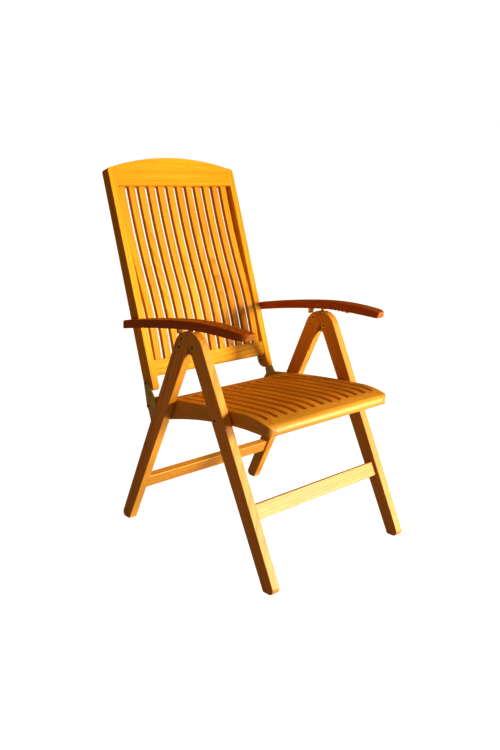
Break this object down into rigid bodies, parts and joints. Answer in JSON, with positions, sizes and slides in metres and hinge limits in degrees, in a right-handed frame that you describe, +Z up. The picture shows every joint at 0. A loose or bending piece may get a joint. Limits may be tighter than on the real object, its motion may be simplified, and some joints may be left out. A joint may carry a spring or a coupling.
{
  "type": "folding reclining armchair",
  "caption": "Slatted hardwood garden armchair with brass fittings; its legs fold flat and its high back reclines in steps set by notched racks under the arms.",
  "frame": {"origin": "on the floor, at the centre of the chair's box seen from above", "axes": "+X to the sitter's left, -Y the way the sitter faces, +Z up"},
  "size_m": [0.61, 0.8124, 1.0685],
  "materials": {
    "leg_wood": "oiled satin",
    "seat_frame_wood": "oiled satin",
    "seat_slat_wood": "oiled satin",
    "back_frame_wood": "oiled satin",
    "back_slat_wood": "oiled satin",
    "arm_wood": "oiled satin",
    "plate_brass": "satin",
    "fastener_brass": "satin"
  },
  "bodies": {
    "front_frame": {"front_leg_left": "leg_wood", "front_leg_right": "leg_wood", "front_stretcher": "leg_wood", "hinge_bolts": "fastener_brass", "seat_pivot_bolts": "fastener_brass", "seat_pivot_washers": "fastener_brass"},
    "rear_frame": {"rear_leg_left": "leg_wood", "rear_leg_right": "leg_wood", "rear_stretcher": "leg_wood", "hinge_plate_left": "plate_brass", "hinge_plate_right": "plate_brass", "hinge_plate_screws": "fastener_brass", "catch_pins": "fastener_brass", "link_leg_bolts": "fastener_brass"},
    "seat": {"seat_rail_left": "seat_frame_wood", "seat_rail_right": "seat_frame_wood", "seat_front_rail": "seat_frame_wood", "seat_rear_rail": "seat_frame_wood", "seat_slat_01": "seat_slat_wood", "seat_slat_02": "seat_slat_wood", "seat_slat_03": "seat_slat_wood", "seat_slat_04": "seat_slat_wood", "seat_slat_05": "seat_slat_wood", "seat_slat_06": "seat_slat_wood", "seat_slat_07": "seat_slat_wood", "seat_slat_08": "seat_slat_wood", "seat_slat_09": "seat_slat_wood", "seat_slat_10": "seat_slat_wood", "seat_slat_11": "seat_slat_wood", "seat_slat_12": "seat_slat_wood"},
    "links": {"link_plate_left": "plate_brass", "link_plate_right": "plate_brass", "link_seat_pins": "fastener_brass"},
    "back_pivots": {"back_pivot_bolts": "fastener_brass"},
    "backrest": {"back_stile_left": "back_frame_wood", "back_stile_right": "back_frame_wood", "back_top_rail": "back_frame_wood", "back_bottom_rail": "back_frame_wood", "back_slat_01": "back_slat_wood", "back_slat_02": "back_slat_wood", "back_slat_03": "back_slat_wood", "back_slat_04": "back_slat_wood", "back_slat_05": "back_slat_wood", "back_slat_06": "back_slat_wood", "back_slat_07": "back_slat_wood", "back_slat_08": "back_slat_wood", "back_slat_09": "back_slat_wood", "back_slat_10": "back_slat_wood", "back_slat_11": "back_slat_wood", "back_slat_12": "back_slat_wood"},
    "arm_pivots": {"arm_bolts": "fastener_brass"},
    "arm_spacers": {"arm_washers": "fastener_brass"},
    "arm_left": {"armrest_left": "arm_wood", "arm_rack_left": "plate_brass"},
    "arm_right": {"armrest_right": "arm_wood", "arm_rack_right": "plate_brass"}
  },
  "joints": [
    {"name": "fold", "type": "hinge", "parent": "front_frame", "child": "rear_frame", "pos_m": [0, -0.06506, 0.59], "axis": [-1, 0, 0], "range_deg": [0, 30]},
    {"name": "seat_fold", "type": "hinge", "parent": "front_frame", "child": "seat", "pos_m": [0, -0.16356, 0.4127], "axis": [-1, 0, 0], "range_deg": [0, 38.4]},
    {"name": "link_fold", "type": "hinge", "parent": "seat", "child": "links", "pos_m": [0, 0.15074, 0.3685], "axis": [-1, 0, 0], "range_deg": [0, 55.2]},
    {"name": "back_fold", "type": "hinge", "parent": "links", "child": "back_pivots", "pos_m": [0, 0.16594, 0.434], "axis": [-1, 0, 0], "range_deg": [-85.6, 0]},
    {"name": "recline", "type": "hinge", "parent": "back_pivots", "child": "backrest", "pos_m": [0, 0.16594, 0.434], "axis": [-1, 0, 0], "range_deg": [0, 30]},
    {"name": "arm_level", "type": "hinge", "parent": "backrest", "child": "arm_pivots", "pos_m": [0, 0.21452, 0.60534], "axis": [-1, 0, 0], "range_deg": [-22.2, 0]},
    {"name": "arm_fold", "type": "hinge", "parent": "arm_pivots", "child": "arm_spacers", "pos_m": [0, 0.21452, 0.60534], "axis": [-1, 0, 0], "range_deg": [0, 110.5]},
    {"name": "arm_lift_left", "type": "hinge", "parent": "arm_spacers", "child": "arm_left", "pos_m": [0, 0.21452, 0.60534], "axis": [-1, 0, 0], "range_deg": [0, 45]},
    {"name": "arm_lift_right", "type": "hinge", "parent": "arm_spacers", "child": "arm_right", "pos_m": [0, 0.21452, 0.60534], "axis": [-1, 0, 0], "range_deg": [0, 45]}
  ],
  "couplings": [
    {"joint": "seat_fold", "follows": "fold", "ratio": 1.28},
    {"joint": "link_fold", "follows": "fold", "ratio": 1.84},
    {"joint": "back_fold", "follows": "fold", "ratio": -2.8533},
    {"joint": "arm_level", "follows": "recline", "ratio": -0.74},
    {"joint": "arm_fold", "follows": "fold", "ratio": 3.6833}
  ]
}
